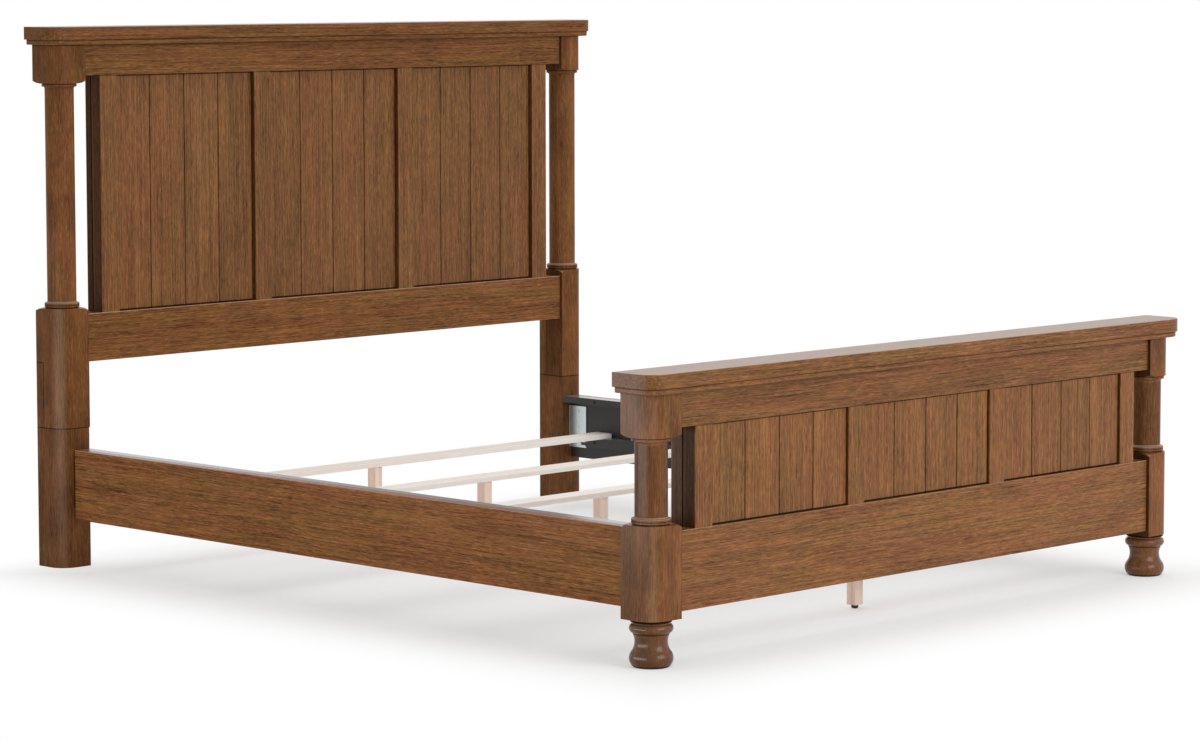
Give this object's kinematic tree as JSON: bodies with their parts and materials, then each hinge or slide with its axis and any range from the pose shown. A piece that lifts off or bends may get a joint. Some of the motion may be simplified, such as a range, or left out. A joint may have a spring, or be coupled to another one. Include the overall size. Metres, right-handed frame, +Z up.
{
  "type": "poster bed",
  "caption": "Low poster bed frame: turned posts, planked headboard and footboard under flat crowns, hooked side rails and slats on middle legs.",
  "frame": {"origin": "on the floor, under the centre of the bed's outer box", "axes": "+X across the bed, +Y from the footboard to the headboard, +Z up"},
  "size_m": [2.096, 2.396, 1.496],
  "materials": {
    "oak": "satin, warm brown stain over straight oak grain",
    "plywood": "plain, stained lightly",
    "charcoal": "charcoal paint, matt",
    "pine": "bare, sanded",
    "zinc": "zinc plated",
    "black_steel": "black",
    "glide": "black, matt",
    "cap": "off white"
  },
  "bodies": {
    "bed": {"head_post_left": "oak", "head_post_right": "oak", "head_leg_left": "oak", "head_leg_right": "oak", "foot_post_left": "oak", "foot_post_right": "oak", "foot_bun_left": "oak", "foot_bun_right": "oak", "side_rail_left": "oak", "side_rail_right": "oak", "head_crown_board": "oak", "head_crown_moulding": "oak", "head_top_rail": "oak", "head_bottom_rail": "oak", "head_stiles": "oak", "head_rear_stiles": "oak", "head_core_panel": "plywood", "head_planks_bay_1": "oak", "head_planks_bay_2": "oak", "head_planks_bay_3": "oak", "foot_crown_board": "oak", "foot_crown_moulding": "oak", "foot_top_rail": "oak", "foot_bottom_rail": "oak", "foot_stiles": "oak", "foot_rear_stiles": "oak", "foot_core_panel": "plywood", "foot_planks_bay_1": "oak", "foot_planks_bay_2": "oak", "foot_planks_bay_3": "oak", "rail_batten_left": "charcoal", "rail_batten_right": "charcoal", "rail_ledge_left": "charcoal", "rail_ledge_right": "charcoal", "hook_plates_left": "zinc", "hook_plates_right": "zinc", "slot_plates": "zinc", "plate_screws": "zinc", "rail_screws": "black_steel", "frame_bolts": "black_steel", "crown_dowels": "pine", "slat_1": "pine", "slat_leg_1": "pine", "slat_2": "pine", "slat_leg_2": "pine", "slat_3": "pine", "slat_leg_3": "pine", "slat_4": "pine", "slat_leg_4": "pine", "slat_5": "pine", "slat_leg_5": "pine", "leg_inserts": "zinc", "leg_bolts": "zinc", "slat_screws": "zinc", "leg_bolt_caps": "cap"},
    "glide_1": {"leg_glide_1": "glide"},
    "glide_2": {"leg_glide_2": "glide"},
    "glide_3": {"leg_glide_3": "glide"},
    "glide_4": {"leg_glide_4": "glide"},
    "glide_5": {"leg_glide_5": "glide"}
  },
  "joints": [
    {"name": "glide_1_level", "type": "slide", "parent": "bed", "child": "glide_1", "axis": [0, 0, 1], "range_m": [-0.015, 0]},
    {"name": "glide_2_level", "type": "slide", "parent": "bed", "child": "glide_2", "axis": [0, 0, 1], "range_m": [-0.015, 0]},
    {"name": "glide_3_level", "type": "slide", "parent": "bed", "child": "glide_3", "axis": [0, 0, 1], "range_m": [-0.015, 0]},
    {"name": "glide_4_level", "type": "slide", "parent": "bed", "child": "glide_4", "axis": [0, 0, 1], "range_m": [-0.015, 0]},
    {"name": "glide_5_level", "type": "slide", "parent": "bed", "child": "glide_5", "axis": [0, 0, 1], "range_m": [-0.015, 0]}
  ]
}
